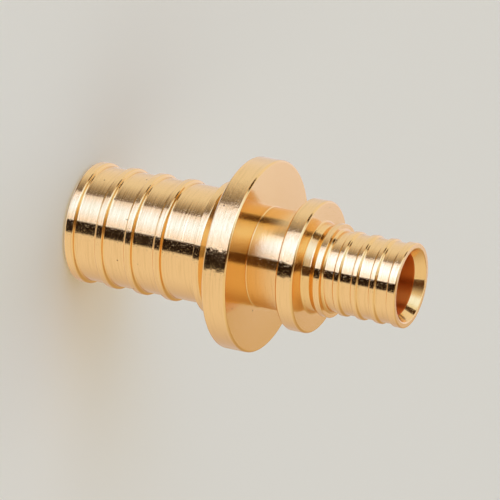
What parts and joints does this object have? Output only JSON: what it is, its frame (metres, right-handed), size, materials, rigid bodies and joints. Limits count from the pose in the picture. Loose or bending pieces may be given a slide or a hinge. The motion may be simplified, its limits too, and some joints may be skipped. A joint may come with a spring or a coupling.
{
  "type": "pex reducing coupling",
  "caption": "Turned brass coupling with a large and a small ribbed spigot back to back, a collar behind each as the stop for its sleeve, and a stepped bore, for joining PEX pipe of two sizes.",
  "frame": {"origin": "centre of the large spigot's end face, on which the coupling stands", "axes": "+Z along the coupling's axis, from the large spigot towards the small one; +X and +Y across it"},
  "size_m": [0.033, 0.033, 0.0602],
  "materials": {
    "brass": "turned and polished, with fine turning marks"
  },
  "bodies": {
    "root": {"coupling_body": "brass"}
  },
  "joints": []
}
